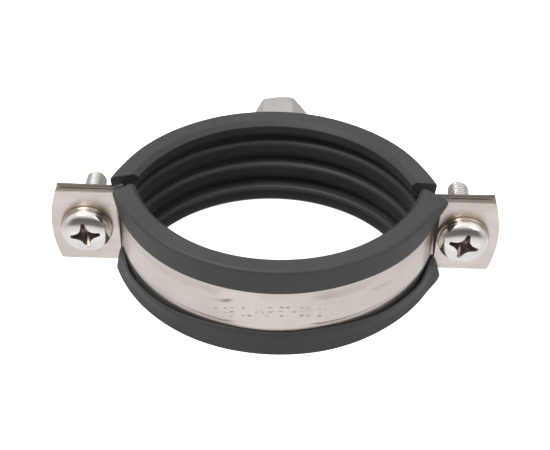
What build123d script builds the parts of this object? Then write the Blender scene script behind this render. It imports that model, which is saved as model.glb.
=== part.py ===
"""Two-half cushioned pipe clamp: steel strip halves, rubber liners, two screws and a welded boss nut.

Frame: the pipe axis is Z, the two screws run along Y with their heads at -Y, and the boss nut is at +Y.
The origin is on the pipe axis, at mid height, in the plane where the two halves meet. Units: mm.
"""

from build123d import *
from math import asin, cos, degrees, hypot, radians, sin, sqrt, tan
import os

os.makedirs("parts", exist_ok=True)

# Halves: the side is the sign of Y on which a half lies
FRONT = -1
REAR = 1
LEFT = -1
RIGHT = 1

# Steel strip
STRIP_WIDTH = 20.0
STRIP_THICKNESS = 1.25
ARC_RADIUS = 36.35  # inner face of the strip, from the centre of its arc
ARC_OFFSET = 9.4  # each arc's centre lies this far beyond the meeting plane
BEND_RADIUS = 1.6  # inside radius where the arc turns out into an ear
EAR_GAP = 0.48  # between the two ears when the clamp is closed
EAR_TIP_X = 51.7
EAR_CORNER_X = 50.1
REAR_EAR_SPLAY = 1.2  # degrees, the rear ears lean back a little
ARC_SHIFT = {FRONT: 0.5, REAR: -0.3}  # each arc sits a little off the middle between its ears

# Pressed stiffening ribs, one on each flank of a half
RIB_HALF_HEIGHT = 4.2
RIB_RISE = 0.5
RIB_START = 14.0  # degrees from the crown of the arc
RIB_END = 66.0
RIB_NOSE_RADIUS = 3.4
RIB_EDGE_RADIUS = 0.35

# Screws: M5 x 20 pan head with a cross recess
SCREW_X = 43.4
THREAD_RADIUS = 2.5
SCREW_TIP_Y = 16.3
TIP_CHAMFER = 0.5
HEAD_RADIUS = 5.75
HEAD_SKIRT = 1.6
HEAD_DOME = 1.35
HEAD_EDGE_RADIUS = 0.35
RECESS_SPAN = 6.9
RECESS_WIDTH = 1.7
RECESS_FLOOR_WIDTH = 1.15
RECESS_DEPTH = 2.3
RECESS_FLARE = 0.8
RECESS_TURN = {LEFT: 8.0, RIGHT: -16.0}  # degrees, seen from the front
EAR_HOLE_RADIUS = 2.8
THREAD_CLEARANCE = 0.06

# Captive washers
WASHER_RADIUS = 6.0
WASHER_THICKNESS = 1.0
WASHER_HOLE_RADIUS = 2.75
WASHER_CHAMFER = 0.12
SEAT_CLEARANCE = 0.03

# Tapped collars drawn out of the rear ears
COLLAR_RADIUS = 3.9
COLLAR_HEIGHT = 2.2

# Rubber liner section, radii from the centre of the arc
LINER_HALF_HEIGHT = 12.2
PAD_RADIUS = 33.6
PAD_CHAMFER = 1.1
CREST_RADIUS = 34.4
GROOVE_RADIUS = 35.9
GROOVE_HALF_WIDTH = 0.7
GROOVE_Z = 6.65  # the outer grooves; the third one is at mid height
CREST_FILLET = 0.9
UPPER_RIM_RADIUS = 38.9
LOWER_RIM_RADIUS = 39.4
LIP_RADIUS = 38.3
WINDOW_HALF_HEIGHT = 5.45
LIP_CHAMFER = 0.25
POCKET_CLEARANCE = 0.05
LINER_SWEEP = 80.0  # degrees each way from the crown, past both slanted ends

# Slanted ends of the liners: distance from the arc's own middle and from the meeting plane
LINER_END = {
    FRONT: ((32.6, 0.6), (37.3, 4.1)),
    REAR: ((33.7, 2.7), (37.3, 2.1)),
}

# Boss nut, a hexagon with a combined M8 and M10 thread on a round weld neck
HEX_FLATS = 13.0
HEX_TURN = -6.0  # degrees about its own axis, as it was welded on
HEX_START_Y = 29.3
HEX_END_Y = 43.3
HEX_CHAMFER_ANGLE = 30.0
HEX_CHAMFER_START_RADIUS = 6.2
NECK_RADIUS = 4.8
M10_RADIUS = 5.0
M8_RADIUS = 4.0
M10_DEPTH = 8.0
M8_END_Y = 28.5  # the M8 thread stops just short of the strip
RUNOUT_RADIUS = 3.6  # bore behind the M8 thread
THREAD_MOUTH_CHAMFER = 0.4
WELD_RADIUS = 5.35
WELD_RISE = 0.3
SADDLE_DEPTH = 1.0  # neck and weld reach this far below the strip's crown before the saddle is cut
CONE_MARGIN = 1.0  # the cone that chamfers the hexagon starts this far outside its corners

MID_RADIUS = ARC_RADIUS + STRIP_THICKNESS / 2
BAND_OUTER_RADIUS = ARC_RADIUS + STRIP_THICKNESS
EAR_MID_Y = (EAR_GAP + STRIP_THICKNESS) / 2
EAR_FACE_Y = EAR_GAP / 2 + STRIP_THICKNESS
BEND_MID_RADIUS = BEND_RADIUS + STRIP_THICKNESS / 2
BEND_CENTRE_Y = EAR_MID_Y + BEND_MID_RADIUS
BEND_REACH = sqrt((MID_RADIUS + BEND_MID_RADIUS) ** 2 - (ARC_OFFSET + BEND_CENTRE_Y) ** 2)
ARC_END_ANGLE = degrees(asin(BEND_REACH / (MID_RADIUS + BEND_MID_RADIUS)))
THROUGH = 60.0  # longer than any cut needs
END_MARGIN = 15.0  # how far the wedge at a liner's end reaches past it
TOLERANCE = 0.01


def arc_centre(side):
    return (ARC_SHIFT[side], -side * ARC_OFFSET)


def arc_point(side, radius, angle):
    """Point at an angle from the crown of a half's arc, positive towards +X."""
    x, y = arc_centre(side)
    return (x + radius * sin(radians(angle)), y + side * radius * cos(radians(angle)))


def radial_plane(side, angle):
    """Plane through a half's arc axis: local X runs outwards, local Y is +Z."""
    x, y = arc_centre(side)
    outward = (sin(radians(angle)), side * cos(radians(angle)), 0)
    normal = (outward[1], -outward[0], 0)
    return Plane(origin=(x, y, 0), x_dir=outward, z_dir=normal)


def arc_axis(side):
    """Axis about which a revolve runs from -X towards +X along the half."""
    x, y = arc_centre(side)
    return Axis((x, y, 0), (0, 0, -side))


def ear_run(side, hand, shift, splay):
    """Bend centre and unit vectors of one ear: along it, and from its bend centre to the ear."""
    centre = (shift + hand * BEND_REACH, side * BEND_CENTRE_Y)
    along = (hand * cos(radians(splay)), side * sin(radians(splay)))
    across = (hand * sin(radians(splay)), -side * cos(radians(splay)))
    return centre, along, across


def strip_edge(side, offset, splay):
    """One long edge of the strip seen from above, offset outwards from its middle."""
    shift = ARC_SHIFT[side]
    bend_radius = BEND_MID_RADIUS - offset
    arc_ends = []
    for hand in (LEFT, RIGHT):
        centre, along, across = ear_run(side, hand, shift, splay)
        on_arc = arc_point(side, MID_RADIUS + offset, hand * ARC_END_ANGLE)
        on_ear = (centre[0] + bend_radius * across[0], centre[1] + bend_radius * across[1])
        length = (hand * EAR_TIP_X - on_ear[0]) / along[0]
        tip = (on_ear[0] + length * along[0], on_ear[1] + length * along[1])
        to_arc = ((on_arc[0] - centre[0]) / bend_radius, (on_arc[1] - centre[1]) / bend_radius)
        middle = (to_arc[0] + across[0], to_arc[1] + across[1])
        scale = bend_radius / hypot(*middle)
        through = (centre[0] + scale * middle[0], centre[1] + scale * middle[1])
        ThreePointArc(on_arc, through, on_ear)
        Line(on_ear, tip)
        arc_ends.append((on_arc, tip))
    ThreePointArc(arc_ends[0][0], arc_point(side, MID_RADIUS + offset, 0), arc_ends[1][0])
    return arc_ends[0][1], arc_ends[1][1]


def strip_outline(side, splay):
    """Edges of the strip's outline seen from above."""
    inner = strip_edge(side, -STRIP_THICKNESS / 2, splay)
    outer = strip_edge(side, STRIP_THICKNESS / 2, splay)
    Line(inner[0], outer[0])
    Line(inner[1], outer[1])


def ear_outline():
    """Outline of the whole strip seen along Y, with shallow round ear tips."""
    half = STRIP_WIDTH / 2
    ThreePointArc((EAR_CORNER_X, -half), (EAR_TIP_X, 0), (EAR_CORNER_X, half))
    Line((EAR_CORNER_X, half), (-EAR_CORNER_X, half))
    ThreePointArc((-EAR_CORNER_X, half), (-EAR_TIP_X, 0), (-EAR_CORNER_X, -half))
    Line((-EAR_CORNER_X, -half), (EAR_CORNER_X, -half))


def rib_body(side, hand, inner_radius, outer_radius, half_height):
    """Pressed rib as a solid between two radii, with a round nose towards the crown."""
    start = RIB_START if hand == RIGHT else -RIB_END
    with BuildPart() as rib:
        with BuildSketch(radial_plane(side, start)):
            with Locations(((inner_radius + outer_radius) / 2, 0)):
                Rectangle(outer_radius - inner_radius, 2 * half_height)
        revolve(axis=arc_axis(side), revolution_arc=RIB_END - RIB_START)
        nose = rib.edges().filter_by(GeomType.LINE).filter_by(
            lambda edge: abs(edge.center().Z) > half_height - TOLERANCE
        )
        nose = nose.sort_by(lambda edge: abs(edge.center().X - ARC_SHIFT[side]))[:2]
        fillet(nose, RIB_NOSE_RADIUS)
    return rib.part


def make_band(side, splay):
    """One strip half with its ears, screw holes and pressed ribs."""
    with BuildPart() as band:
        with BuildSketch(Plane.XY):
            with BuildLine():
                strip_outline(side, splay)
            make_face()
        extrude(amount=STRIP_WIDTH / 2, both=True)
        with BuildSketch(Plane.XZ):
            with BuildLine():
                ear_outline()
            make_face()
        extrude(amount=THROUGH, both=True, mode=Mode.INTERSECT)
        for hand in (LEFT, RIGHT):
            rise = rib_body(side, hand, BAND_OUTER_RADIUS - RIB_RISE, BAND_OUTER_RADIUS + RIB_RISE,
                            RIB_HALF_HEIGHT)
            hollow = rib_body(side, hand, ARC_RADIUS - RIB_RISE, ARC_RADIUS + RIB_RISE,
                              RIB_HALF_HEIGHT - RIB_RISE)
            add(rise)
            add(hollow, mode=Mode.SUBTRACT)
        crests = band.faces().filter_by(GeomType.CYLINDER).filter_by(
            lambda face: abs(face.radius - BAND_OUTER_RADIUS - RIB_RISE) < TOLERANCE
        )
        fillet(crests.edges(), RIB_EDGE_RADIUS)
        if side == REAR:
            with BuildSketch(Plane.XZ.offset(-EAR_MID_Y)):
                with Locations((-SCREW_X, 0), (SCREW_X, 0)):
                    Circle(COLLAR_RADIUS)
            extrude(amount=-(EAR_FACE_Y - EAR_MID_Y + COLLAR_HEIGHT))
        hole_radius = THREAD_RADIUS + THREAD_CLEARANCE if side == REAR else EAR_HOLE_RADIUS
        with BuildSketch(Plane.XZ):
            with Locations((-SCREW_X, 0), (SCREW_X, 0)):
                Circle(hole_radius)
        extrude(amount=THROUGH, both=True, mode=Mode.SUBTRACT)
    return band.part


def liner_section():
    """Liner section: radius along local X, height along local Y, one lip over each strip edge."""
    pocket_half = STRIP_WIDTH / 2 + POCKET_CLEARANCE
    pocket_in = ARC_RADIUS - POCKET_CLEARANCE
    pocket_out = BAND_OUTER_RADIUS + POCKET_CLEARANCE
    upper_inner = [
        (PAD_RADIUS, LINER_HALF_HEIGHT),
        (PAD_RADIUS, GROOVE_Z + GROOVE_HALF_WIDTH),
        (GROOVE_RADIUS, GROOVE_Z + GROOVE_HALF_WIDTH),
        (GROOVE_RADIUS, GROOVE_Z - GROOVE_HALF_WIDTH),
        (CREST_RADIUS, GROOVE_Z - GROOVE_HALF_WIDTH),
        (CREST_RADIUS, GROOVE_HALF_WIDTH),
        (GROOVE_RADIUS, GROOVE_HALF_WIDTH),
    ]
    upper_outer = [
        (pocket_in, pocket_half),
        (pocket_out, pocket_half),
        (pocket_out, WINDOW_HALF_HEIGHT),
        (LIP_RADIUS, WINDOW_HALF_HEIGHT),
    ]
    lower_inner = [(radius, -height) for radius, height in reversed(upper_inner)]
    lower_outer = [(radius, -height) for radius, height in reversed(upper_outer)]
    upper_rim = [(UPPER_RIM_RADIUS, LINER_HALF_HEIGHT)]
    lower_rim = [(LOWER_RIM_RADIUS, -LINER_HALF_HEIGHT)]
    with BuildSketch(Plane.XY, mode=Mode.PRIVATE) as section:
        with BuildLine():
            Polyline(upper_inner + lower_inner + lower_rim + lower_outer + upper_outer + upper_rim, close=True)
        make_face()
        vertices = section.vertices()
        crest = vertices.filter_by(
            lambda v: v.X < CREST_RADIUS + TOLERANCE and abs(v.Y) < LINER_HALF_HEIGHT - TOLERANCE
        )
        fillet(crest, CREST_FILLET)
        lips = section.vertices().filter_by(
            lambda v: abs(abs(v.Y) - WINDOW_HALF_HEIGHT) < TOLERANCE and v.X > pocket_out + TOLERANCE
        )
        rims = section.vertices().filter_by(
            lambda v: abs(v.Y) > LINER_HALF_HEIGHT - TOLERANCE and v.X > pocket_out
        )
        chamfer(lips + rims, LIP_CHAMFER)
        pads = section.vertices().filter_by(
            lambda v: abs(v.Y) > LINER_HALF_HEIGHT - TOLERANCE and v.X < pocket_in
        )
        chamfer(pads, PAD_CHAMFER)
    return section.sketch


def end_wedge(side, hand):
    """Region beyond a liner's slanted end, seen from above."""
    inner, outer = LINER_END[side]
    slope = (outer[0] - inner[0], outer[1] - inner[1])
    near = (inner[0] - slope[0], inner[1] - slope[1])
    far = (outer[0] + slope[0], outer[1] + slope[1])
    end_x = far[0] + END_MARGIN
    corners = [near, far, (end_x, far[1]), (end_x, -END_MARGIN), (near[0], -END_MARGIN)]
    Polyline([(ARC_SHIFT[side] + hand * x, side * y) for x, y in corners], close=True)


def make_liner(side):
    """Rubber liner of one half, wrapped over both edges of the strip."""
    with BuildPart() as liner:
        with BuildSketch(radial_plane(side, -LINER_SWEEP)):
            add(liner_section())
        revolve(axis=arc_axis(side), revolution_arc=2 * LINER_SWEEP)
        for hand in (LEFT, RIGHT):
            with BuildSketch(Plane.XY):
                with BuildLine():
                    end_wedge(side, hand)
                make_face()
            extrude(amount=THROUGH, both=True, mode=Mode.SUBTRACT)
    return liner.part


def head_profile():
    """Half profile of a screw: local X is the radius, local Y points from the head to the tip."""
    seat = -(EAR_FACE_Y + 2 * SEAT_CLEARANCE + WASHER_THICKNESS)
    edge = seat - HEAD_SKIRT
    apex = edge - HEAD_DOME
    mid_radius = HEAD_RADIUS / 2
    dome_radius = (HEAD_RADIUS**2 + HEAD_DOME**2) / (2 * HEAD_DOME)
    mid_y = apex + dome_radius - sqrt(dome_radius**2 - mid_radius**2)
    ThreePointArc((0, apex), (mid_radius, mid_y), (HEAD_RADIUS, edge))
    Polyline(
        (HEAD_RADIUS, edge),
        (HEAD_RADIUS, seat),
        (THREAD_RADIUS, seat),
        (THREAD_RADIUS, SCREW_TIP_Y - TIP_CHAMFER),
        (THREAD_RADIUS - TIP_CHAMFER, SCREW_TIP_Y),
        (0, SCREW_TIP_Y),
        (0, apex),
    )


def make_screw(hand):
    """Pan-head screw along Y, with a plain shank at the thread's outer diameter."""
    apex = -(EAR_FACE_Y + 2 * SEAT_CLEARANCE + WASHER_THICKNESS + HEAD_SKIRT + HEAD_DOME)
    with BuildPart() as screw:
        with BuildSketch(Plane(origin=(hand * SCREW_X, 0, 0), x_dir=(1, 0, 0), z_dir=(0, 0, 1))):
            with BuildLine():
                head_profile()
            make_face()
        revolve(axis=Axis((hand * SCREW_X, 0, 0), (0, 1, 0)))
        rim = screw.edges().filter_by(GeomType.CIRCLE).filter_by(
            lambda edge: abs(edge.radius - HEAD_RADIUS) < TOLERANCE
        )
        fillet(rim, HEAD_EDGE_RADIUS)
        mouth = Plane(origin=(hand * SCREW_X, apex, 0), x_dir=(1, 0, 0), z_dir=(0, -1, 0))
        floor = mouth.offset(-RECESS_DEPTH)
        for turn in (RECESS_TURN[hand], RECESS_TURN[hand] + 90):
            with BuildSketch(mouth):
                Rectangle(RECESS_SPAN, RECESS_WIDTH, rotation=turn)
            with BuildSketch(floor):
                Rectangle(RECESS_SPAN - 2 * RECESS_FLARE, RECESS_FLOOR_WIDTH, rotation=turn)
            loft(mode=Mode.SUBTRACT)
    return screw.part


def make_washer(hand):
    """Flat washer held between a screw head and the front ear."""
    with BuildPart() as washer:
        with BuildSketch(Plane.XZ.offset(EAR_FACE_Y + SEAT_CLEARANCE)):
            with Locations((hand * SCREW_X, 0)):
                Circle(WASHER_RADIUS)
                Circle(WASHER_HOLE_RADIUS, mode=Mode.SUBTRACT)
        extrude(amount=WASHER_THICKNESS)
        rims = washer.edges().filter_by(GeomType.CIRCLE).filter_by(
            lambda edge: abs(edge.radius - WASHER_RADIUS) < TOLERANCE
        )
        chamfer(rims, WASHER_CHAMFER)
    return washer.part


def band_cylinder():
    """Solid that fills the rear strip's outer face, for cutting saddles."""
    x, y = arc_centre(REAR)
    with BuildPart() as drum:
        with BuildSketch(Plane.XY):
            with Locations((x, y)):
                Circle(BAND_OUTER_RADIUS)
        extrude(amount=STRIP_WIDTH, both=True)
    return drum.part


def make_boss():
    """Hexagon boss on its weld neck, with an M10 thread at the mouth and M8 behind it."""
    crown_y = arc_centre(REAR)[1] + BAND_OUTER_RADIUS
    corner_radius = HEX_FLATS / sqrt(3)
    cone_radius = corner_radius + CONE_MARGIN
    cone_fall = (cone_radius - HEX_CHAMFER_START_RADIUS) * tan(radians(HEX_CHAMFER_ANGLE))
    with BuildPart() as boss:
        with BuildSketch(Plane.XZ.offset(-HEX_START_Y)):
            RegularPolygon(HEX_FLATS / 2, 6, major_radius=False, rotation=HEX_TURN)
        extrude(amount=-(HEX_END_Y - HEX_START_Y))
        with BuildSketch(Plane.XY):
            with BuildLine():
                Polyline(
                    (0, HEX_START_Y),
                    (cone_radius, HEX_START_Y),
                    (cone_radius, HEX_END_Y - cone_fall),
                    (HEX_CHAMFER_START_RADIUS, HEX_END_Y),
                    (0, HEX_END_Y),
                    close=True,
                )
            make_face()
        revolve(axis=Axis.Y, mode=Mode.INTERSECT)
        with BuildSketch(Plane.XZ.offset(SADDLE_DEPTH - crown_y)):
            Circle(NECK_RADIUS)
        extrude(amount=-(HEX_START_Y - crown_y + SADDLE_DEPTH))
        with BuildSketch(Plane.XZ.offset(-HEX_END_Y)):
            Circle(M10_RADIUS)
        extrude(amount=M10_DEPTH, mode=Mode.SUBTRACT)
        with BuildSketch(Plane.XZ.offset(-HEX_END_Y)):
            Circle(M8_RADIUS)
        extrude(amount=HEX_END_Y - M8_END_Y, mode=Mode.SUBTRACT)
        with BuildSketch(Plane.XZ.offset(-HEX_END_Y)):
            Circle(RUNOUT_RADIUS)
        extrude(amount=HEX_END_Y, mode=Mode.SUBTRACT)
        mouth = boss.edges().filter_by(GeomType.CIRCLE).sort_by(Axis.Y)
        mouth = mouth.filter_by(lambda edge: abs(edge.radius - M10_RADIUS) < TOLERANCE)[-1]
        chamfer(mouth, THREAD_MOUTH_CHAMFER)
        add(band_cylinder(), mode=Mode.SUBTRACT)
    return boss.part


def make_weld():
    """Weld flash ring around the boss neck."""
    crown_y = arc_centre(REAR)[1] + BAND_OUTER_RADIUS
    with BuildPart() as weld:
        with BuildSketch(Plane.XZ.offset(SADDLE_DEPTH - crown_y)):
            Circle(WELD_RADIUS)
            Circle(NECK_RADIUS, mode=Mode.SUBTRACT)
        extrude(amount=-(SADDLE_DEPTH + WELD_RISE))
        add(band_cylinder(), mode=Mode.SUBTRACT)
    return weld.part


PARTS = {
    "rear_band": make_band(REAR, REAR_EAR_SPLAY),
    "front_band": make_band(FRONT, 0.0),
    "rear_liner": make_liner(REAR),
    "front_liner": make_liner(FRONT),
    "boss_nut": make_boss(),
    "boss_weld": make_weld(),
    "left_screw": make_screw(LEFT),
    "right_screw": make_screw(RIGHT),
    "left_washer": make_washer(LEFT),
    "right_washer": make_washer(RIGHT),
}

for name, part in PARTS.items():
    part.label = name
    export_step(part, f"parts/{name}.step")
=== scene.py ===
"""Cushioned two-half pipe clamp: detailed meshes, procedural materials, studio light and camera."""

import math

import bmesh
import bpy
import numpy as np
from mathutils import Matrix, Vector


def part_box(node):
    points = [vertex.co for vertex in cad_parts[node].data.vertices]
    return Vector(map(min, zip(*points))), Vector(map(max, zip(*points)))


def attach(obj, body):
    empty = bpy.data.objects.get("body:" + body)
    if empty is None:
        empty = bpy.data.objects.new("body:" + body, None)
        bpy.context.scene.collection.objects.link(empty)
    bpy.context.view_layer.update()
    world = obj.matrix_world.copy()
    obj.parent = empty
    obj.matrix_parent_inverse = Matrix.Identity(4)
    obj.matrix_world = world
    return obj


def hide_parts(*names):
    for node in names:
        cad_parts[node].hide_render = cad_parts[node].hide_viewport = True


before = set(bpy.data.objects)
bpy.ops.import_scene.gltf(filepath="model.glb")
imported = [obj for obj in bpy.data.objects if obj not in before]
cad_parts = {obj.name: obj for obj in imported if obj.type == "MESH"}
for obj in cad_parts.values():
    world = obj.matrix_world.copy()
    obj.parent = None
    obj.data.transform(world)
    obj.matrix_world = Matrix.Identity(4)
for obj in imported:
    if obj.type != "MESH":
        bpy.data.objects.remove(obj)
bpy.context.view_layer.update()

MM = 0.001
FRONT, REAR = -1, 1
LEFT, RIGHT = -1, 1
rng = np.random.default_rng(7)


# ---- sizes in mm, most of them from the CAD frame
def node_box(node):
    """Lowest and highest corner of a CAD node in millimetres."""
    low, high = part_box(node)
    return np.array(low) / MM, np.array(high) / MM


front_high = node_box("front_band")[1]
liner_high = node_box("front_liner")[1]
screw_low, screw_high = node_box("left_screw")
washer_low, washer_high = node_box("left_washer")
boss_high = node_box("boss_nut")[1]

STRIP_HALF = front_high[2]
EAR_TIP_X = front_high[0] - 0.01  # a hair inside the CAD ear
HALF_GAP = -front_high[1]  # from the meeting plane to each ear
STRIP_T = 1.25
EAR_CORNER_CUT = 1.6
EAR_FACE_Y = HALF_GAP + STRIP_T
ARC_R = 36.35  # inner face of the strip
ARC_OFFSET = 9.4  # each arc's centre lies this far past the meeting plane
BEND_R = 1.6
REAR_SPLAY = 1.2  # degrees that the rear ears lean back
ARC_SHIFT = {FRONT: 0.5, REAR: -0.3}  # how far each arc sits off the middle
MID_R = ARC_R + STRIP_T / 2
OUT_R = ARC_R + STRIP_T
BEND_MID = BEND_R + STRIP_T / 2
BEND_Y = HALF_GAP + STRIP_T / 2 + BEND_MID
BEND_REACH = math.sqrt((MID_R + BEND_MID) ** 2 - (ARC_OFFSET + BEND_Y) ** 2)
ARC_END = math.asin(BEND_REACH / (MID_R + BEND_MID))

SCREW_X = (screw_high[0] + screw_low[0]) / -2
HEAD_R = (screw_high[0] - screw_low[0]) / 2
HEAD_APEX_Y = screw_low[1]
TIP_Y = screw_high[1]
WASHER_R = (washer_high[0] - washer_low[0]) / 2
THREAD_R = 2.5
PITCH = 0.8
# The recess gets painted shade in its colour and a rougher finish, within this reach and from this deep
# below the head's dome
RECESS_REACH = (3.7, 4.0)
RECESS_SUNK = (0.05, 0.4)
RECESS_DOME = 0.055  # how fast the dome falls away, per millimetre
RIM_HALF = liner_high[2]
EAR_GAP_SHADE_Y = HALF_GAP + 0.35  # middle of the painted shadow on the rear ears' sheared edges, next to the gap between the ears
EAR_GAP_SHADE_HALF = (0.3, 0.5)  # where that painted shadow starts to fade and where it ends


# ---- mesh helpers
def make_object(name, vertices, faces, material, sharp=40.0, uv=None):
    """Mesh object from points in millimetres, shaded smooth except across sharp edges."""
    mesh = bpy.data.meshes.new(name)
    mesh.from_pydata([tuple(v) for v in np.asarray(vertices) * MM], [], faces)
    mesh.validate()
    piece = bpy.data.objects.new(name, mesh)
    bpy.context.scene.collection.objects.link(piece)
    if uv is not None:
        layer = mesh.uv_layers.new(name="flat")
        loops = np.zeros(len(mesh.loops), dtype=np.int32)
        mesh.loops.foreach_get("vertex_index", loops)
        layer.data.foreach_set("uv", np.asarray(uv, dtype=np.float32)[loops].ravel())
    finish_shading(piece, material, sharp)
    return piece


def finish_shading(piece, material, sharp):
    mesh = piece.data
    mesh.materials.clear()
    mesh.materials.append(material)
    mesh.polygons.foreach_set("use_smooth", [True] * len(mesh.polygons))
    mesh.set_sharp_from_angle(angle=math.radians(sharp))
    mesh.update()


def outward(piece, material, sharp, merge=False):
    """Makes a closed mesh's normals point outwards, merges double points if asked, and shades it again."""
    work = bmesh.new()
    work.from_mesh(piece.data)
    if merge:
        bmesh.ops.remove_doubles(work, verts=work.verts, dist=1e-7)
    bmesh.ops.recalc_face_normals(work, faces=work.faces)
    work.to_mesh(piece.data)
    work.free()
    finish_shading(piece, material, sharp)


def circle(steps):
    return np.linspace(0, 2 * math.pi, steps, endpoint=False)


def round_ring(radius, y, angles, centre=(0, 0)):
    """Points round an axis along Y. Radius and y are each one value or one per angle."""
    return np.column_stack([centre[0] + radius * np.sin(angles), np.broadcast_to(y, angles.shape),
                            centre[1] + radius * np.cos(angles)])


def ring_faces(rows, count, closed_rows=False):
    """Quads between consecutive closed rings of the same point count."""
    faces = []
    last = rows if closed_rows else rows - 1
    for i in range(last):
        a, b = i * count, ((i + 1) % rows) * count
        faces += [(a + j, a + (j + 1) % count, b + (j + 1) % count, b + j) for j in range(count)]
    return faces


def swept(name, rings, material, sharp, uv=None):
    """Closed solid through a list of closed rings, with flat end caps."""
    rings = np.asarray(rings)
    rows, count = rings.shape[:2]
    faces = ring_faces(rows, count)
    faces.append(tuple(range(count - 1, -1, -1)))
    faces.append(tuple(range((rows - 1) * count, rows * count)))
    flat_uv = None if uv is None else np.asarray(uv).reshape(-1, 2)
    piece = make_object(name, rings.reshape(-1, 3), faces, material, sharp, flat_uv)
    outward(piece, material, sharp)
    return piece


def lathe(name, profile, centre, material, steps, sharp=35.0):
    """Solid turned about an axis along Y, from (radius, y) points that end on the axis or form a ring."""
    angles = circle(steps)
    vertices = np.concatenate([round_ring(radius, y, angles, centre) for radius, y in profile])
    faces = ring_faces(len(profile), steps, closed_rows=profile[0][0] > 0)
    piece = make_object(name, vertices, faces, material, sharp)
    outward(piece, material, sharp, merge=True)
    return piece


def boolean(piece, cutter, operation="DIFFERENCE"):
    """Applies an exact boolean and removes the cutter."""
    modifier = piece.modifiers.new("cut", "BOOLEAN")
    modifier.operation = operation
    modifier.solver = "EXACT"
    modifier.object = cutter
    depsgraph = bpy.context.evaluated_depsgraph_get()
    result = bpy.data.meshes.new_from_object(piece.evaluated_get(depsgraph))
    piece.modifiers.clear()
    old = piece.data
    piece.data = result
    result.name = old.name
    bpy.data.objects.remove(cutter)


def smoothstep(x):
    x = np.clip(x, 0, 1)
    return x * x * (3 - 2 * x)


def rise(value, span):
    """0 up to a start and 1 past its span, from a (start, span) pair."""
    return np.clip((value - span[0]) / span[1], 0, 1)


def rounded_outline(corners, steps, spacing):
    """Closed outline whose corners (x, y, radius) are rounded, with long sides divided."""
    dense = []
    count = len(corners)
    for i in range(count):
        before, here, after = (np.array(corners[(i + k) % count][:2], float) for k in (-1, 0, 1))
        radius = corners[i][2]
        a = (before - here) / np.linalg.norm(before - here)
        b = (after - here) / np.linalg.norm(after - here)
        half = math.acos(float(np.clip(a @ b, -1, 1))) / 2
        if radius <= 0 or half > math.radians(88):
            dense.append(here)
            continue
        setback = radius / math.tan(half)
        centre = here + (a + b) / np.linalg.norm(a + b) * radius / math.sin(half)
        start, end = here + a * setback - centre, here + b * setback - centre
        turn = math.atan2(start[0] * end[1] - start[1] * end[0], start @ end)
        for k in range(steps + 1):
            angle = turn * k / steps
            c, s = math.cos(angle), math.sin(angle)
            dense.append(centre + np.array([c * start[0] - s * start[1], s * start[0] + c * start[1]]))
    outline = []
    for here, after in zip(dense, dense[1:] + dense[:1]):
        parts = max(1, int(np.linalg.norm(after - here) / spacing))
        outline += [here + (after - here) * k / parts for k in range(parts)]
    return np.array(outline)


# ---- material helpers
MIX_COLOUR_INPUTS, MIX_COLOUR_OUTPUT = (0, 6, 7), 2  # a colour mix node's factor and colours, and its result


class Nodes:
    """Short way to write the node tree of a material or a world."""

    def __init__(self, owner, shader="Principled BSDF"):
        owner.use_nodes = True
        self.owner = owner
        self.tree = owner.node_tree
        self.shader = self.tree.nodes[shader]

    def add(self, kind, values=(), **settings):
        node = self.tree.nodes.new(kind)
        for key, value in settings.items():
            setattr(node, key, value)
        for key, value in dict(values).items():
            self.feed(node.inputs[key], value)
        return node

    def feed(self, socket, value):
        """Links another node's output to a socket, or sets its constant."""
        if isinstance(value, bpy.types.NodeSocket):
            self.tree.links.new(value, socket)
        else:
            socket.default_value = value

    def coords(self, kind="Object", scale=(1, 1, 1)):
        source = self.add("ShaderNodeTexCoord").outputs[kind]
        return self.add("ShaderNodeMapping", {"Vector": source, "Scale": scale}).outputs["Vector"]

    def noise(self, vector, scale, detail=3.0, roughness=0.5):
        values = {"Vector": vector, "Scale": scale, "Detail": detail, "Roughness": roughness}
        return self.add("ShaderNodeTexNoise", values).outputs["Fac"]

    def remap(self, value, low, high, to_low, to_high):
        values = {"Value": value, "From Min": low, "From Max": high, "To Min": to_low, "To Max": to_high}
        return self.add("ShaderNodeMapRange", values).outputs["Result"]

    def share(self, value, low, high):
        """0 below low, 1 above high."""
        return self.remap(value, low, high, 0.0, 1.0)

    def math(self, operation, a, b):
        return self.add("ShaderNodeMath", {0: a, 1: b}, operation=operation).outputs["Value"]

    def mix(self, factor, a, b):
        node = self.add("ShaderNodeMix", data_type="RGBA")
        for socket, value in zip(MIX_COLOUR_INPUTS, (factor, a, b)):
            self.feed(node.inputs[socket], value)
        return node.outputs[MIX_COLOUR_OUTPUT]

    def absolute(self, value):
        return self.add("ShaderNodeMath", {0: value}, operation="ABSOLUTE").outputs["Value"]

    def axes(self, kind):
        """Separate X, Y and Z outputs of a coordinate."""
        return self.add("ShaderNodeSeparateXYZ", {0: self.add("ShaderNodeTexCoord").outputs[kind]}).outputs

    def bump(self, height, strength, distance_mm):
        values = {"Height": height, "Strength": strength, "Distance": distance_mm * MM}
        return self.add("ShaderNodeBump", values).outputs["Normal"]

    def set(self, **values):
        for key, value in values.items():
            self.feed(self.shader.inputs[key.replace("_", " ")], value)

    def metal(self, colour, rough, normal):
        self.set(Base_Color=colour, Metallic=1.0, Roughness=rough, Normal=normal)
        return self.owner


def grey(level, warm=0.0):
    """Linear colour of a grey level, warmer with a positive second value."""
    return (level * (1 + warm), level, level * (1 - warm), 1.0)


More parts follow.
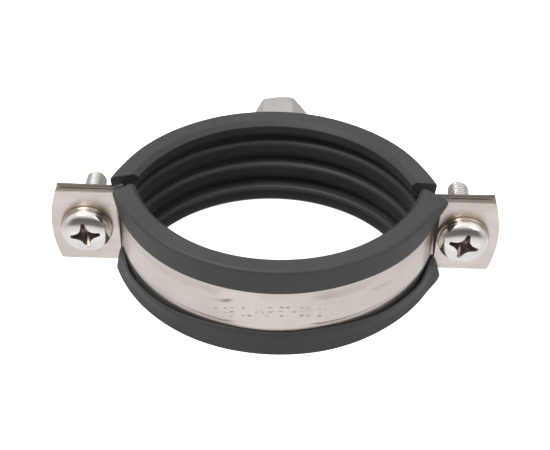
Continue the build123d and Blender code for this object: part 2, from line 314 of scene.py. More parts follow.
def strip_material(name, base, warm, roughness):
    """Rolled stainless strip: lengthwise drawing lines, faint cloudy stains, darker sheared edges and a
    painted shadow of the gap between the ears on the rear ears' sheared edges.
    """
    n = Nodes(bpy.data.materials.new(name))
    lines = n.share(n.noise(n.coords("UV", (12, 1500, 1)), 1.0, 4.0), 0.3, 0.7)
    cloud = n.noise(n.coords(), 90.0, 4.0, 0.6)
    blotch = n.share(n.noise(n.coords("Object", (1, 1, 1.6)), 230.0, 3.0, 0.55), 0.56, 0.74)
    colour = n.mix(n.share(cloud, 0.35, 0.7), grey(base, warm), grey(base * 0.93, warm * 1.25))
    colour = n.mix(n.math("MULTIPLY", blotch, 0.35), colour, grey(base * 0.78, warm * 1.7))
    colour = n.mix(n.math("MULTIPLY", lines, 0.12), colour, grey(base * 0.8, warm))
    sheared = n.share(n.absolute(n.axes("Normal")["Z"]), 0.45, 0.75)
    edge = n.mix(cloud, grey(base * 0.4, warm * 2.0), grey(base * 0.26, warm * 2.4))
    colour = n.mix(sheared, colour, edge)
    # Painted shadow: a dark stripe on the rear ears' sheared edges, next to the gap between the ears
    gap_shade = n.absolute(n.math("SUBTRACT", n.axes("Object")["Y"], EAR_GAP_SHADE_Y * MM))
    gap_shade = n.remap(gap_shade, EAR_GAP_SHADE_HALF[0] * MM, EAR_GAP_SHADE_HALF[1] * MM, 1.0, 0.0)
    colour = n.mix(n.math("MULTIPLY", gap_shade, sheared), colour, grey(base * 0.14, warm * 2.2))
    rough = n.math("ADD", n.remap(lines, 0.0, 1.0, roughness - 0.05, roughness + 0.05),
                   n.remap(cloud, 0.3, 0.7, -0.05, 0.05))
    rough = n.math("ADD", rough, n.math("MULTIPLY", sheared, 0.1))
    return n.metal(colour, rough, n.bump(lines, 0.25, 0.02))


def recess_share(n):
    """1 inside a screw's cross recess, 0 on the head and shank."""
    place = n.axes("Object")
    across = n.math("SUBTRACT", n.absolute(place["X"]), SCREW_X * MM)
    square = n.math("ADD", n.math("MULTIPLY", across, across), n.math("MULTIPLY", place["Z"], place["Z"]))
    sunk = n.math("SUBTRACT", place["Y"], HEAD_APEX_Y * MM)
    sunk = n.math("SUBTRACT", sunk, n.math("MULTIPLY", square, RECESS_DOME / MM))
    near = n.remap(square, (RECESS_REACH[0] * MM) ** 2, (RECESS_REACH[1] * MM) ** 2, 1.0, 0.0)
    return n.math("MULTIPLY", near, n.share(sunk, RECESS_SUNK[0] * MM, RECESS_SUNK[1] * MM))


def polished_material(name, base, warm, roughness, recess=False):
    """Bright machined steel with fine scratches and handling marks, and, if asked, painted shade and a
    rougher finish inside the recess.
    """
    n = Nodes(bpy.data.materials.new(name))
    fine = n.noise(n.coords("Object", (1, 6, 1)), 900.0, 4.0, 0.6)
    smudge = n.noise(n.coords(), 260.0, 3.0, 0.55)
    colour = n.mix(n.share(smudge, 0.35, 0.7), grey(base, warm), grey(base * 0.9, warm * 1.5))
    rough = n.math("ADD", n.remap(fine, 0.3, 0.7, roughness - 0.03, roughness + 0.04),
                   n.remap(smudge, 0.35, 0.7, -0.02, 0.05))
    if recess:
        share = recess_share(n)
        # Painted shade: the recess is coloured dark brown-grey; its rougher finish is added on the next line
        colour = n.mix(share, colour, n.mix(smudge, grey(0.33, 0.14), grey(0.24, 0.18)))
        rough = n.math("ADD", rough, n.math("MULTIPLY", share, 0.22))
    return n.metal(colour, rough, n.bump(fine, 0.12, 0.02))


def turned_material(name, base, warm, roughness):
    """Drawn hexagon bar: fine lines along the bar, dull handling stains."""
    n = Nodes(bpy.data.materials.new(name))
    lines = n.noise(n.coords("Object", (1, 0.06, 1)), 2600.0, 4.0, 0.6)
    stain = n.noise(n.coords(), 210.0, 4.0, 0.6)
    colour = n.mix(n.share(stain, 0.4, 0.72), grey(base, warm), grey(base * 0.82, warm * 1.6))
    rough = n.math("ADD", n.remap(lines, 0.3, 0.7, roughness - 0.05, roughness + 0.06),
                   n.remap(stain, 0.35, 0.7, -0.03, 0.06))
    return n.metal(colour, rough, n.bump(lines, 0.3, 0.02))


def weld_material(name):
    """Weld flash: rough bead with straw and blue heat tint."""
    n = Nodes(bpy.data.materials.new(name))
    grain = n.noise(n.coords(), 1400.0, 4.0, 0.6)
    tint = n.noise(n.coords(), 330.0, 2.0, 0.5)
    straw, blue = (0.42, 0.33, 0.22, 1), (0.28, 0.28, 0.31, 1)
    colour = n.mix(n.share(tint, 0.35, 0.6), straw, blue)
    return n.metal(colour, n.remap(grain, 0.3, 0.7, 0.38, 0.62), n.bump(grain, 0.6, 0.06))


def rubber_material(name, base, dust):
    """Moulded EPDM rubber: charcoal, fine grain, pale dust in patches and a few specks."""
    n = Nodes(bpy.data.materials.new(name))
    grain = n.noise(n.coords(), 2600.0, 4.0, 0.65)
    pits = n.noise(n.coords(), 900.0, 3.0, 0.6)
    patch = n.share(n.noise(n.coords(), 70.0, 4.0, 0.6), 0.35, 0.7)
    cells = n.add("ShaderNodeTexVoronoi", {"Vector": n.coords(), "Scale": 620.0}, feature="F1")
    specks = n.remap(cells.outputs["Distance"], 0.05, 0.16, 1.0, 0.0)
    specks = n.math("MULTIPLY", specks, n.share(pits, 0.52, 0.62))
    colour = n.mix(patch, grey(base * 0.94, 0.0), grey(base * 1.25, 0.01))
    colour = n.mix(n.remap(grain, 0.35, 0.7, 0.0, 0.5), colour, grey(base * 1.7, 0.01))
    colour = n.mix(n.math("MULTIPLY", specks, dust), colour, grey(0.2, 0.03))
    rough = n.math("ADD", n.remap(grain, 0.3, 0.7, 0.44, 0.54), n.remap(patch, 0.0, 1.0, -0.03, 0.05))
    height = n.math("ADD", n.math("MULTIPLY", grain, 0.6), pits)
    n.set(Base_Color=colour, Roughness=rough, Specular_IOR_Level=0.32, Normal=n.bump(height, 0.35, 0.03))
    return n.owner


STRIP = strip_material("strip_steel", 0.74, 0.07, 0.4)
SCREW = polished_material("screw_steel", 0.86, 0.02, 0.11, recess=True)
WASHER = polished_material("washer_steel", 0.46, 0.14, 0.12)
THREAD = polished_material("screw_thread", 0.74, 0.03, 0.3)
BOSS = turned_material("boss_steel", 0.62, 0.035, 0.34)
WELD = weld_material("weld_steel")
RUBBER = rubber_material("liner_rubber", 0.038, 0.35)


# ---- half frames
def arc_centre(side):
    return np.array([ARC_SHIFT[side], -side * ARC_OFFSET])


def arc_points(side, radius, angle, z):
    """Points at angles in radians from the crown of a half's arc."""
    cx, cy = arc_centre(side)
    radius, angle, z = np.broadcast_arrays(radius, angle, z)
    return np.stack([cx + radius * np.sin(angle), cy + side * radius * np.cos(angle), z], -1)


# ---- stamped mark
# Strokes of each letter in a cell one unit high
GLYPHS = {
    "P": [((0, 0), (0, 1), (0.5, 1), (0.62, 0.86), (0.62, 0.62), (0.5, 0.48), (0, 0.48))],
    "I": [((0.1, 0), (0.1, 1))],
    "E": [((0.55, 0), (0, 0), (0, 1), (0.55, 1)), ((0, 0.5), (0.45, 0.5))],
    "C": [((0.6, 0.82), (0.45, 1), (0.15, 1), (0, 0.8), (0, 0.2), (0.15, 0), (0.45, 0), (0.6, 0.18))],
    "L": [((0, 1), (0, 0), (0.5, 0))],
    "A": [((0, 0), (0.31, 1), (0.62, 0)), ((0.12, 0.36), (0.5, 0.36))],
    "M": [((0, 0), (0, 1), (0.36, 0.35), (0.72, 1), (0.72, 0))],
    "2": [((0, 0.8), (0.15, 1), (0.42, 1), (0.57, 0.82), (0.57, 0.62), (0, 0), (0.6, 0))],
    "5": [((0.55, 1), (0.04, 1), (0, 0.56), (0.4, 0.58), (0.57, 0.42), (0.57, 0.16), (0.42, 0), (0.12, 0),
           (0, 0.14))],
    "6": [((0.52, 0.95), (0.2, 1), (0, 0.75), (0, 0.2), (0.15, 0), (0.42, 0), (0.57, 0.18), (0.57, 0.4),
           (0.42, 0.56), (0.12, 0.56), (0, 0.42))],
    "7": [((0, 1), (0.58, 1), (0.18, 0))],
    "-": [((0.05, 0.48), (0.45, 0.48))],
    '"': [((0.08, 1), (0.05, 0.72)), ((0.3, 1), (0.27, 0.72))],
    " ": [],
}
ADVANCE = {"I": 0.2, "M": 0.72, " ": 0.35, '"': 0.32}  # letters of other widths
PLAIN_ADVANCE = 0.62
LETTER_GAP = 0.3
STAMP_TEXT = 'PIPE CLAMP 57-62 2"'
STAMP_HEIGHT = 2.45
STAMP_START, STAMP_WIDTH = -13.0, 25.0
STAMP_DEPTH = 0.13
STAMP_REACH = 20.0  # no part of the mark lies further from the crown
STROKE = 0.2


def stamp_line(along):
    """Height of the stamped line's foot: the die left it slightly bowed."""
    return -1.55 + 0.042 * along - 0.0115 * along ** 2


def advance(letter):
    return ADVANCE.get(letter, PLAIN_ADVANCE) + LETTER_GAP


def stamp_strokes():
    """Line pieces of the stamped mark, as (start, end) points along the strip and its height."""
    unit = STAMP_WIDTH / sum(advance(c) for c in STAMP_TEXT)
    strokes, x = [], STAMP_START
    for c in STAMP_TEXT:
        for line in GLYPHS[c]:
            points = [(x + px * unit, stamp_line(x + px * unit) + py * STAMP_HEIGHT) for px, py in line]
            strokes += list(zip(points, points[1:]))
        x += advance(c) * unit
    return strokes


def stamp_depth(along, height):
    """Depth of the stamped groove at points on the strip."""
    nearest = np.full(along.shape, np.inf)
    for (ax, ay), (bx, by) in stamp_strokes():
        dx, dy = bx - ax, by - ay
        t = np.clip(((along - ax) * dx + (height - ay) * dy) / (dx * dx + dy * dy), 0, 1)
        nearest = np.minimum(nearest, np.hypot(along - ax - t * dx, height - ay - t * dy))
    uneven = 0.75 + 0.25 * np.sin(along * 1.7 + 0.6) * np.cos(height * 2.1)
    return STAMP_DEPTH * uneven * smoothstep(1 - nearest / STROKE)


# ---- strip halves
RIB_HALF = 4.45
RIB_RISE = 0.32
RIB_START, RIB_END = math.radians(11.0), math.radians(68.0)
RIB_FADE = math.radians(7)
RIB_BLEND = (0.45, 2.6)  # how wide a rib's lower and upper edges are
FOOT_DEPTH, FOOT_HALF = 0.12, 0.22  # fine groove that the press leaves at a rib's lower edge
NOSE_BLEND = 4.5
EDGE_R = 0.16
OUTER_FACE = 0.3  # points further out than this take the stamp
# Heights of the section's points, as (low, high, step) spans
SECTION_SPANS = {
    FRONT: ((-9.8, -5.0, 0.3), (-5.0, 1.2, 0.11), (1.2, 5.0, 0.2), (5.0, 9.8, 0.3)),
    REAR: ((-9.8, -5.0, 0.4), (-5.0, -3.9, 0.1), (-3.9, 3.9, 0.3), (3.9, 5.0, 0.1), (5.0, 9.8, 0.4)),
}
# Spacing of the sections along each half: fine up to an angle from the crown, plain beyond it
FINE_STEP = {FRONT: 0.15, REAR: 0.35}
FINE_END = {FRONT: math.radians(44.0), REAR: math.radians(28.5)}
PLAIN_STEP = 0.4
BEND_STEPS, EAR_STEPS, TIP_STEPS = 14, 24, 4
# Shallow press creases on the front half, as (length from the crown, height, depth)
CREASES = [
    [(-24.0, 1.5, 0.0), (-20.0, 1.1, 0.035), (-15.0, 0.75, 0.05), (-12.0, 1.0, 0.12),
     (-9.9, 1.45, 0.3), (-8.4, 2.0, 0.1), (-7.0, 2.5, 0.0)],
    [(-30.0, 2.4, 0.0), (-26.0, 2.4, 0.03), (-18.0, 2.2, 0.03), (-14.0, 2.2, 0.0)],
    [(9.0, 3.2, 0.0), (11.0, 3.0, 0.05), (17.0, 2.4, 0.04), (20.0, 2.0, 0.0)],
    [(21.0, 1.3, 0.0), (23.0, 1.0, 0.2), (25.5, 0.6, 0.28), (28.0, 0.4, 0.12),
     (34.0, -0.4, 0.03), (37.0, -0.8, 0.0)],
]
CREASE_WIDTH = 1.3
CREASE_FADE = 2.5  # height below the rib's edge over which they fade


def crease_step(along, z):
    """Soft steps down across each crease."""
    total = np.zeros(np.shape(z))
    for line in CREASES:
        s, heights, depths = (np.array(values) for values in zip(*line))
        depth = np.interp(along, s, depths, 0.0, 0.0)
        across = (z - np.interp(along, s, heights)) / CREASE_WIDTH
        total -= depth * smoothstep(across + 0.5) * smoothstep((RIB_HALF - z) / CREASE_FADE)
    return total


def rib_height(angle, z, side):
    """Height of the pressed ribs over the strip's plain face."""
    along = MID_R * np.abs(angle)
    blend = np.where(z > 0, RIB_BLEND[1], RIB_BLEND[0])
    across = smoothstep((RIB_HALF + RIB_BLEND[0] / 2 - np.abs(z)) / blend)
    nose = smoothstep((along - MID_R * RIB_START) / NOSE_BLEND)
    fade = smoothstep((RIB_END - np.abs(angle)) / RIB_FADE)
    foot = np.maximum(0, 1 - np.abs(z + RIB_HALF + RIB_BLEND[0] / 2 + FOOT_HALF) / FOOT_HALF)
    lift = (RIB_RISE * across - FOOT_DEPTH * smoothstep(foot)) * nose * fade
    return lift + crease_step(MID_R * angle, z) if side == FRONT else lift


def strip_stations(side, splay):
    """Stations as (kind, point on the middle line, outward normal, arc angle, length from the crown)."""
    stations = []
    plain = np.arange(-ARC_END, -FINE_END[side], PLAIN_STEP / MID_R)
    fine = np.arange(-FINE_END[side], FINE_END[side], FINE_STEP[side] / MID_R)
    angles = np.concatenate([plain, fine, -plain[::-1], [ARC_END]])
    cx, cy = arc_centre(side)
    for hand in (LEFT, RIGHT):
        run = []
        centre = np.array([cx + hand * BEND_REACH, side * BEND_Y])
        start = math.atan2(-side * math.cos(ARC_END), -hand * math.sin(ARC_END))
        lean = math.radians(splay)
        end = math.atan2(-side * math.cos(lean), hand * math.sin(lean))
        turn = (end - start + math.pi) % (2 * math.pi) - math.pi
        for k in range(1, BEND_STEPS + 1):
            a = start + turn * k / BEND_STEPS
            normal = -np.array([math.cos(a), math.sin(a)])
            length = MID_R * ARC_END + BEND_MID * abs(turn) * k / BEND_STEPS
            run.append(("bend", centre - BEND_MID * normal, normal, hand * ARC_END, hand * length))
        point, normal, length = run[-1][1], run[-1][2], abs(run[-1][4])
        along = np.array([hand * math.cos(lean), side * math.sin(lean)])
        reach = (EAR_TIP_X - EDGE_R - abs(point[0])) / math.cos(lean)
        for k in range(1, EAR_STEPS + 1):
            run.append(("ear", point + along * reach * k / EAR_STEPS, normal, hand * ARC_END,
                        hand * (length + reach * k / EAR_STEPS)))
        if hand == LEFT:
            stations += run[::-1]
            for a in angles:
                normal = np.array([math.sin(a), side * math.cos(a)])
                stations.append(("arc", arc_centre(side) + MID_R * normal, normal, a, MID_R * a))
        else:
            stations += run
    return stations


def strip_ring_outline(z_values):
    """Section of the strip as (distance from its middle line, height), with rounded edges."""
    half = STRIP_T / 2
    inset = STRIP_HALF - EDGE_R
    zs = z_values[np.abs(z_values) < inset - 0.02]
    outer = [(half, z) for z in zs]
    inner = [(-half, z) for z in zs[::-1]]
    turn = np.linspace(0, math.pi / 2, 5)
    top = [(half - EDGE_R + EDGE_R * math.cos(a), inset + EDGE_R * math.sin(a)) for a in turn]
    top += [(-half + EDGE_R - EDGE_R * math.sin(a), inset + EDGE_R * math.cos(a)) for a in turn]
    bottom = [(-x, -z) for x, z in top]
    return np.array(outer + top + inner + bottom)


def tip_line(z):
    """Distance of the rounded ear tip from the middle, at heights z."""
    radius = (EAR_CORNER_CUT ** 2 + STRIP_HALF ** 2) / (2 * EAR_CORNER_CUT)
    return EAR_TIP_X - radius + np.sqrt(radius ** 2 - z ** 2)


def make_band(side, splay, name):
    """One strip half as a swept section with pressed ribs, rolled edges and rounded ear tips."""
    outline = strip_ring_outline(np.concatenate([np.arange(*span) for span in SECTION_SPANS[side]]))
    stations = strip_stations(side, splay)
    bend_x = max(abs(s[1][0]) for s in stations if s[0] == "bend")
    rings, uvs = [], []

    def add_ring(index, length, point, normal, offset, z, stretch=0.0):
        ring = np.column_stack([point + offset[:, None] * normal, z])
        ring[:, 0] += stretch
        rings.insert(index, ring)
        uvs.insert(index, np.column_stack([np.full(len(z), length), z]) * MM)

    for kind, point, normal, angle, length in stations:
        offset, z, stretch = outline[:, 0], outline[:, 1], 0.0
        if kind == "arc":
            lift = rib_height(np.full(len(z), angle), z, side)
            if side == FRONT and abs(MID_R * angle) < STAMP_REACH:
                depth = stamp_depth(np.full(len(z), MID_R * angle), z)
                lift = lift - np.where(offset > OUTER_FACE, depth, 0.0)
            offset = offset + lift
        if kind == "ear":
            share = (abs(point[0]) - bend_x) / (EAR_TIP_X - EDGE_R - bend_x)
            stretch = np.sign(point[0]) * share * (tip_line(z) - EAR_TIP_X)
        add_ring(len(rings), length, point, normal, offset, z, stretch)
    for end in (0, -1):
        _, point, normal, _, length = stations[end]
        hand = np.sign(point[0])
        for k in range(1, TIP_STEPS + 1):
            a = k / TIP_STEPS * math.pi / 2
            inset = EDGE_R * (1 - math.cos(a))
            offset = outline[:, 0] * (STRIP_T / 2 - inset) / (STRIP_T / 2)
            z = outline[:, 1] * (STRIP_HALF - inset) / STRIP_HALF
            stretch = hand * (tip_line(outline[:, 1]) - EAR_TIP_X + EDGE_R * math.sin(a))
            add_ring(0 if end == 0 else len(rings), length, point, normal, offset, z, stretch)
    return swept(name, rings, STRIP, 42.0, uvs)


def hole_cutter(x, radius, low_y, high_y, chamfer):
    """Round cutter along Y that also breaks the hole's two edges."""
    reach = 3.0
    profile = [(0, low_y - reach), (radius + chamfer + reach, low_y - reach), (radius + chamfer, low_y),
               (radius, low_y + chamfer), (radius, high_y - chamfer), (radius + chamfer, high_y),
               (radius + chamfer + reach, high_y + reach), (0, high_y + reach)]
    return lathe("cutter", profile, (x, 0), STRIP, 64)


front_band = make_band(FRONT, 0.0, "front_band_strip")
rear_band = make_band(REAR, REAR_SPLAY, "rear_band_strip")

EAR_HOLE_R = 2.8
EAR_HOLE_CHAMFER = 0.12
COLLAR_HOLE_R = 2.56
COLLAR_R = 3.86
COLLAR_SEAT_R = 3.0  # hole that the collar is joined into
COLLAR_FOOT_Y = HALF_GAP + 0.4
COLLAR_TOP = EAR_FACE_Y + 2.2
# Drawn collar as (radius, y): foot inside the ear, flare at its face, rounded top, bore
COLLAR_PROFILE = [
    (COLLAR_HOLE_R + 0.02, COLLAR_FOOT_Y), (COLLAR_R, COLLAR_FOOT_Y), (4.6, EAR_FACE_Y + 0.05),
    (4.25, EAR_FACE_Y + 0.2), (4.0, EAR_FACE_Y + 0.5), (3.88, EAR_FACE_Y + 0.9),
    (COLLAR_R, COLLAR_TOP - 0.2), (3.74, COLLAR_TOP - 0.06), (3.5, COLLAR_TOP),
    (COLLAR_HOLE_R + 0.15, COLLAR_TOP - 0.05), (COLLAR_HOLE_R + 0.02, COLLAR_TOP - 0.25),
]
for hand in (LEFT, RIGHT):
    x = hand * SCREW_X
    boolean(front_band, hole_cutter(x, EAR_HOLE_R, -EAR_FACE_Y, -HALF_GAP, EAR_HOLE_CHAMFER))
    collar = lathe("collar", COLLAR_PROFILE, (x, 0), STRIP, 72)
    boolean(rear_band, hole_cutter(x, COLLAR_SEAT_R, HALF_GAP, EAR_FACE_Y + 1.0, 0.0))
    boolean(rear_band, collar, "UNION")
for band in (front_band, rear_band):
    finish_shading(band, STRIP, 38.0)


# ---- rubber liners
PAD_R = 33.6
PAD_BEVEL = 1.1
PAD_SLOPE = (0.5, 1.0)  # each pad's wall leans back this far in, over this height, next to its groove
CREST_R = 34.4
CREST_SAG = 0.3  # a rib's lower edge lies this much further out than its crest
CREST_FLAT = 0.9
GROOVE_R = 35.85
GROOVES = (7.0, 0.35, -6.3)  # middles of the three grooves
GROOVE_HALF = 1.1
POCKET_IN, POCKET_OUT = 36.3, 37.65  # pocket that holds the strip
POCKET_HALF = 10.05
LIP_R, RIM_R = 38.3, 38.8
LIP_Z = 5.45
LOW_LIP_R, LOW_RIM_R = 38.0, 39.15
LOW_LIP_Z = 5.8
LOW_LIP_DROP = 0.5  # the lower lip hangs this much lower at the crown

# Each end: (distance from the arc's middle, distance from the meeting plane) at the inner and outer edge,
# for the top and the bottom of the liner
LINER_ENDS = {
    (FRONT, LEFT): (((33.7, 0.95), (37.1, 3.75)), ((34.0, 1.0), (37.4, 1.9))),
    (FRONT, RIGHT): (((34.8, 0.95), (38.2, 4.7)), ((34.2, 1.0), (37.6, 1.6))),
    (REAR, LEFT): (((33.5, 2.4), (36.8, 1.4)), ((33.7, 2.6), (37.3, 1.9))),
    (REAR, RIGHT): (((33.8, 2.5), (37.3, 2.3)), ((33.7, 2.6), (37.3, 2.1))),
}
# How far the free edges bow outwards near each end, at the top and bottom
FLARE = {
    (FRONT, LEFT): (0.6, 0.2),
    (FRONT, RIGHT): (2.0, 1.0),
    (REAR, LEFT): (0.3, 0.2),
    (REAR, RIGHT): (0.3, 0.2),
}
FLARE_SPAN = 13  # degrees from the end over which the edges bow
FLARE_POWER = 1.5
FREE_R, FREE_Z = (35.0, 3.5), (5.0, 6.0)  # (start, span) in radius and height of the part that can bow
LOOSE_R = (0.2, 0.8)  # waves start this far inside the pocket's outer face and grow over this span
END_EDGE = 0.22  # rounding of the ends
FLANK_DROP = {FRONT: 1.0, REAR: 0.3}  # the lower lip hangs this much lower on the flanks
LIP_GAP = {FRONT: (0.15, 0.75), REAR: (0.1, 0.15)}  # the lower lip stands off the strip, more on the flanks
LIP_ROOT_Z = POCKET_HALF - 0.4  # depth at which the lower lip starts to stand off
# (start, span) in degrees from the crown: where the lower lip's gap and drop grow, and where both end
GAP_GROWS, DROP_GROWS, LIP_ENDS = (12, 35), (12, 30), (58, 14)
CROWN_SPAN = 32  # degrees over which LOW_LIP_DROP ends
LINER_STATIONS = 231
LINER_WAVES = 6


def liner_outline():
    """Liner section as (radius, height, rounding): edge pads, ribs and grooves inside, lips outside."""
    top, middle, low = GROOVES
    lean_in, lean_height = PAD_SLOPE
    points = [
        (POCKET_OUT, LIP_Z, 0.12), (LIP_R, LIP_Z, 0.2), (RIM_R, RIM_HALF, 0.8),
        (PAD_R + PAD_BEVEL, RIM_HALF, 0.25), (PAD_R, RIM_HALF - PAD_BEVEL, 0.2),
        (PAD_R, top + GROOVE_HALF + lean_height, 1.0), (PAD_R + lean_in, top + GROOVE_HALF, 0.35),
        (GROOVE_R, top + GROOVE_HALF, 0.3),
    ]
    for above, below in ((top, middle), (middle, low)):
        crest = (above + below) / 2
        points += [
            (GROOVE_R + 0.15, above - GROOVE_HALF, 0.1), (CREST_R + 0.1, above - GROOVE_HALF, 1.3),
            (CREST_R, crest + CREST_FLAT, 2.5), (CREST_R, crest - CREST_FLAT, 2.5),
            (CREST_R + CREST_SAG, below + GROOVE_HALF, 0.35), (GROOVE_R, below + GROOVE_HALF, 0.3),
        ]
    points += [
        (GROOVE_R + 0.15, low - GROOVE_HALF, 0.1), (PAD_R + lean_in, low - GROOVE_HALF, 0.9),
        (PAD_R, low - GROOVE_HALF - lean_height, 0.25), (PAD_R, PAD_BEVEL - RIM_HALF, 0.2),
        (PAD_R + PAD_BEVEL, -RIM_HALF, 0.25), (LOW_RIM_R, -RIM_HALF, 0.3),
        (LOW_LIP_R + 0.35, -LOW_LIP_Z - 1.2, 1.0), (LOW_LIP_R, -LOW_LIP_Z, 0.1),
        (POCKET_OUT, -LOW_LIP_Z, 0.08),
        (POCKET_OUT, -POCKET_HALF, 0.1), (POCKET_IN, -POCKET_HALF, 0.1),
        (POCKET_IN, POCKET_HALF, 0.1), (POCKET_OUT, POCKET_HALF, 0.1),
    ]
    return rounded_outline(points, steps=6, spacing=0.55)


def end_angle(end, radius):
    """Angle from the crown at which a slanted end meets each radius."""
    (xi, yi), (xo, yo) = end
    dx, dy = xo - xi, yo - yi
    a = dx * dx + dy * dy
    b = xi * dx + (yi + ARC_OFFSET) * dy
    c = xi ** 2 + (yi + ARC_OFFSET) ** 2 - radius ** 2
    t = (-b + np.sqrt(np.maximum(b * b - a * c, 0))) / a
    return np.arctan2(xi + t * dx, yi + t * dy + ARC_OFFSET)


def outline_normals(outline):
    """Outward normals of a closed outline."""
    tangent = np.roll(outline, -1, 0) - np.roll(outline, 1, 0)
    tangent /= np.linalg.norm(tangent, axis=1)[:, None] + 1e-12
    normal = np.column_stack([tangent[:, 1], -tangent[:, 0]])
    area = np.sum(outline[:, 0] * np.roll(outline[:, 1], -1) - np.roll(outline[:, 0], -1) * outline[:, 1])
    return normal * np.sign(area)


def make_liner(side, name):
    """One liner, with slanted ends, bowed edges, a loose lower lip and slight waves."""
    outline = liner_outline()
    normals = outline_normals(outline)
    shares = np.linspace(-1, 1, LINER_STATIONS)
    # Each wave is (frequency, phase, height)
    waves = [(rng.uniform(3, 11), rng.uniform(0, 2 * math.pi), rng.uniform(0.015, 0.04))
             for _ in range(LINER_WAVES)]

    def ring_at(share, inset, pull):
        """Section at a share of the way to an end, shrunk by inset and pulled back by pull."""
        hand = RIGHT if share > 0 else LEFT
        section = outline - normals * inset
        r, z = section[:, 0].copy(), section[:, 1]
        out, height = outline[:, 0], np.abs(outline[:, 1])
        top, bottom = LINER_ENDS[side, hand]
        blend = smoothstep((outline[:, 1] + RIM_HALF) / (2 * RIM_HALF))
        reach = blend * end_angle(top, out) + (1 - blend) * end_angle(bottom, out)
        angle = hand * (abs(share) * reach - pull / MID_R)
        from_end = np.degrees(reach - np.abs(angle))
        near = smoothstep(1 - from_end / FLARE_SPAN) ** FLARE_POWER
        flare_top, flare_bottom = FLARE[side, hand]
        r += near * np.where(z > 0, flare_top, flare_bottom) * (rise(out, FREE_R) * rise(height, FREE_Z))
        loose = np.clip((out - POCKET_OUT + LOOSE_R[0]) / LOOSE_R[1], 0, 1)
        stand = np.clip((LIP_ROOT_Z - height) / (LIP_ROOT_Z - LOW_LIP_Z), 0, 1)
        stand = np.where((z < 0) & (out > POCKET_OUT - 0.05), stand, 0.0)
        off_crown = np.abs(np.degrees(angle))
        gap = LIP_GAP[side][0] + LIP_GAP[side][1] * smoothstep(rise(off_crown, GAP_GROWS))
        off_end = 1 - smoothstep(rise(off_crown, LIP_ENDS))
        r += gap * stand * off_end
        z = z - LOW_LIP_DROP * stand * (1 - smoothstep(off_crown / CROWN_SPAN))
        z = z - FLANK_DROP[side] * stand * smoothstep(rise(off_crown, DROP_GROWS)) * off_end
        r += loose * sum(h * np.sin(f * angle + p + np.sign(z)) for f, p, h in waves)
        return arc_points(side, r, angle, z)

    edge_steps = [(END_EDGE * (1 - math.cos(a)), END_EDGE * (1 - math.sin(a)))
                  for a in np.linspace(math.pi / 2, 0, 5)]
    rings = [ring_at(-1.0, *step) for step in edge_steps]
    rings += [ring_at(share, 0.0, 0.0) for share in shares[1:-1]]
    rings += [ring_at(1.0, *step) for step in edge_steps[::-1]]
    return swept(name, rings, RUBBER, 50.0)


front_liner = make_liner(FRONT, "front_liner_rubber")
rear_liner = make_liner(REAR, "rear_liner_rubber")


# ---- screws
HEAD_HEIGHT = 2.95
SEAT_Y = HEAD_APEX_Y + HEAD_HEIGHT
SKIRT = 0.75  # straight part of the head's side
DOME_POWER = 2.35  # 2 would make the dome an ellipse
ROOT_R = 2.04
RECESS_TURN = {LEFT: 8.0, RIGHT: -16.0}
RECESS_R = 3.4
RECESS_WAIST = 1.7
# Sizes of the recess on its way down, as (depth below the apex, share of full size)
RECESS_LEVELS = ((-0.8, 1.14), (0.0, 1.06), (0.5, 1.0), (1.1, 0.9), (1.7, 0.78), (2.3, 0.62),
                 (2.6, 0.45), (2.75, 0.25))
THREAD_ROWS = 14  # sections per turn of thread
TIP_CHAMFER = 0.55


def head_outline():
    """Pan head as (radius, y), from the apex over the dome and the seat to the top of the shank."""
    dome = HEAD_HEIGHT - SKIRT
    points = []
    for a in np.linspace(0, math.pi / 2, 22):
        radius = HEAD_R * math.sin(a) ** (2 / DOME_POWER)
        points.append((radius, HEAD_APEX_Y + dome * (1 - math.cos(a) ** (2 / DOME_POWER))))
    points += [(HEAD_R, SEAT_Y - SKIRT * 0.8), (HEAD_R - 0.1, SEAT_Y - 0.45), (HEAD_R - 0.45, SEAT_Y - 0.1),
               (HEAD_R - 0.6, SEAT_Y), (THREAD_R + 0.3, SEAT_Y), (THREAD_R - 0.05, SEAT_Y + 0.1),
               (ROOT_R, SEAT_Y + 0.3), (0, SEAT_Y + 0.3)]
    return points


def recess_cutter(x, turn):
    """Cross recess: four blunt wings with hollow flanks, which taper as they sink from the apex."""
    rings = []
    angles = circle(128)
    around = angles + math.radians(turn)
    flank = RECESS_WAIST * np.sqrt(1 / np.maximum(np.abs(np.sin(2 * angles)), 0.01))
    blunt = RECESS_R / np.maximum(np.abs(np.cos(angles)), np.abs(np.sin(angles)))
    for depth, size in RECESS_LEVELS:
        radius = size * np.minimum(flank, blunt)
        rings.append(np.column_stack([x + radius * np.cos(around), np.full(len(around), HEAD_APEX_Y + depth),
                                      radius * np.sin(around)]))
    return swept("cutter", rings, SCREW, 50.0)


def thread_radius(phase):
    """Thread radius over one pitch, 0 to 1: flat crest, sloping flanks and rounded root."""
    p = np.abs(((phase + 0.5) % 1.0) - 0.5) * 2
    return THREAD_R - (THREAD_R - ROOT_R) * smoothstep((p - 0.14) / 0.72)


def make_thread(x, name):
    """Right-hand M5 thread from under the head to the chamfered tip."""
    start = SEAT_Y + 0.15
    angles = circle(64)
    rings = []
    for y in np.arange(start, TIP_Y, PITCH / THREAD_ROWS):
        radius = thread_radius(y / PITCH - angles / (2 * math.pi))
        fade = smoothstep((y - start) / 0.7)
        radius = ROOT_R + (radius - ROOT_R) * fade
        radius = np.minimum(radius, THREAD_R - TIP_CHAMFER + (TIP_Y - y) * 0.9)
        rings.append(round_ring(radius, y, angles, (x, 0)))
    end_r = THREAD_R - 0.62
    for inset, y in ((0.05, TIP_Y - 0.02), (0.15, TIP_Y)):
        rings.append(round_ring(end_r - inset, y, angles, (x, 0)))
    return swept(name, rings, THREAD, 60.0)


